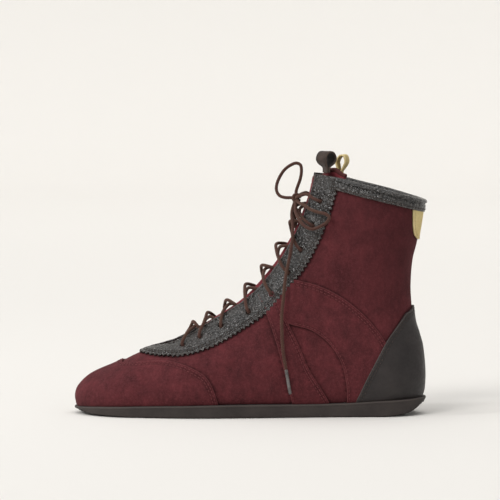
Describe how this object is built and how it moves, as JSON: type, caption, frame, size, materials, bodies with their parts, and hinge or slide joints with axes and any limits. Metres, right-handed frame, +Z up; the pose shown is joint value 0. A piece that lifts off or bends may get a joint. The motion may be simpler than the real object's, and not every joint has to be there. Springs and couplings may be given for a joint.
{
  "type": "boxing boot",
  "caption": "Ankle-high lace-up boxing boot: flat rubber sole, burgundy suede upper, dark leather facings and heel counter, laced bow.",
  "frame": {"origin": "centre of the boot's box, laces left out, on the ground under the sole", "axes": "-X points to the toe, -Y to the lateral (outer) side, +Z up"},
  "size_m": [0.2704, 0.0875, 0.2019],
  "materials": {
    "sole_rubber": "matte moulded rubber",
    "board": "pressed fibre",
    "footbed_textile": "matte knit",
    "lining_textile": "matte textile",
    "suede": "burgundy suede nap",
    "grained_leather": "dark brown, grained, semi-gloss",
    "smooth_leather": "dark charcoal brown, smooth, matte",
    "yellow_suede": "pale yellow nap",
    "brown_strap": "dark brown strap",
    "lace_cord": "woven reddish-brown cord",
    "aglet_plastic": "grey, satin"
  },
  "bodies": {
    "boot": {"lining_lateral": "lining_textile", "vamp_lateral": "suede", "rear_quarter_lateral": "suede", "facing_lateral": "grained_leather", "instep_strap_lateral": "suede", "ankle_overlay_lateral": "suede", "lace_lateral": "lace_cord", "bow_loop_lateral": "lace_cord", "lace_tail_lateral": "lace_cord", "aglet_lateral": "aglet_plastic", "lining_medial": "lining_textile", "vamp_medial": "suede", "rear_quarter_medial": "suede", "facing_medial": "grained_leather", "instep_strap_medial": "suede", "ankle_overlay_medial": "suede", "lace_medial": "lace_cord", "bow_loop_medial": "lace_cord", "lace_tail_medial": "lace_cord", "aglet_medial": "aglet_plastic", "outsole": "sole_rubber", "insole_board": "board", "footbed": "footbed_textile", "toe_cap": "suede", "heel_counter": "smooth_leather", "collar_binding": "grained_leather", "back_patch": "yellow_suede", "tongue": "suede", "lace_knot": "lace_cord"},
    "pull_loop_lateral": {"pull_loop_lateral": "brown_strap"},
    "pull_loop_medial": {"pull_loop_medial": "yellow_suede"}
  },
  "joints": [
    {"name": "lateral_loop_fold", "type": "hinge", "parent": "boot", "child": "pull_loop_lateral", "pos_m": [0.058, -0.017, 0.1889], "axis": [-0.2955, 0.9553, 0], "range_deg": [-25, 25], "stiffness_Nm_per_rad": 0.003},
    {"name": "medial_loop_fold", "type": "hinge", "parent": "boot", "child": "pull_loop_medial", "pos_m": [0.07, 0.0232, 0.1849], "axis": [0.1987, 0.9801, 0], "range_deg": [-25, 25], "stiffness_Nm_per_rad": 0.003}
  ]
}
